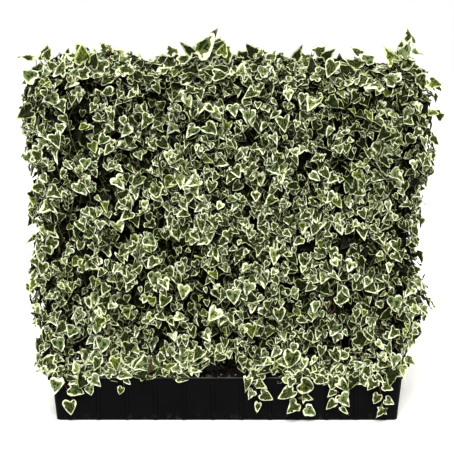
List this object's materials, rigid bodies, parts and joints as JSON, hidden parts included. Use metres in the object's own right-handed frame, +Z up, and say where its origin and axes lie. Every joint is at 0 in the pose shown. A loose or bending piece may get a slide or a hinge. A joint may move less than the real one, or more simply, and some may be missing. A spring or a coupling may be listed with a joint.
{
  "type": "potted ivy hedge",
  "caption": "Narrow rectangular hedge of variegated climbing ivy trained on an upright wire trellis that stands in a long ribbed plastic trough of soil, with shoots trailing over the rim.",
  "frame": {"origin": "centre of the trough's flat underside, where it stands on the ground", "axes": "+X along the trough, -Y the front, +Z up"},
  "size_m": [1.1694, 0.2472, 1.0935],
  "materials": {
    "trough_plastic": "satin",
    "potting_soil": "matte",
    "galvanised_wire": "satin",
    "ivy_stem": "matte",
    "ivy_leaves": "satin"
  },
  "bodies": {
    "root": {"ivy_stem_1": "ivy_stem", "ivy_stem_2": "ivy_stem", "ivy_stem_3": "ivy_stem", "ivy_stem_4": "ivy_stem", "ivy_stem_5": "ivy_stem", "ivy_stem_6": "ivy_stem", "ivy_stem_7": "ivy_stem", "ivy_stem_8": "ivy_stem", "ivy_stem_9": "ivy_stem", "leaf_mass_1": "ivy_leaves", "leaf_mass_2": "ivy_leaves", "leaf_mass_3": "ivy_leaves", "leaf_mass_4": "ivy_leaves", "leaf_mass_5": "ivy_leaves", "leaf_mass_6": "ivy_leaves", "leaf_mass_7": "ivy_leaves", "leaf_mass_8": "ivy_leaves", "leaf_mass_9": "ivy_leaves", "leaf_mass_left_end": "ivy_leaves", "leaf_mass_right_end": "ivy_leaves", "planter_trough": "trough_plastic", "potting_soil": "potting_soil", "trailing_shoot_back_1": "ivy_leaves", "trailing_shoot_back_2": "ivy_leaves", "trailing_shoot_back_3": "ivy_leaves", "trailing_shoot_front_1": "ivy_leaves", "trailing_shoot_front_2": "ivy_leaves", "trailing_shoot_front_3": "ivy_leaves", "trailing_shoot_front_4": "ivy_leaves", "trailing_shoot_front_5": "ivy_leaves", "trailing_shoot_front_6": "ivy_leaves", "trailing_shoot_front_7": "ivy_leaves", "trellis_rail_1": "galvanised_wire", "trellis_rail_2": "galvanised_wire", "trellis_rail_3": "galvanised_wire", "trellis_rail_4": "galvanised_wire", "trellis_rail_5": "galvanised_wire", "trellis_rail_6": "galvanised_wire", "trellis_rail_7": "galvanised_wire", "trellis_rail_8": "galvanised_wire", "trellis_rail_9": "galvanised_wire", "trellis_upright_01": "galvanised_wire", "trellis_upright_02": "galvanised_wire", "trellis_upright_03": "galvanised_wire", "trellis_upright_04": "galvanised_wire", "trellis_upright_05": "galvanised_wire", "trellis_upright_06": "galvanised_wire", "trellis_upright_07": "galvanised_wire", "trellis_upright_08": "galvanised_wire", "trellis_upright_09": "galvanised_wire", "trellis_upright_10": "galvanised_wire", "trellis_upright_11": "galvanised_wire"}
  },
  "joints": []
}
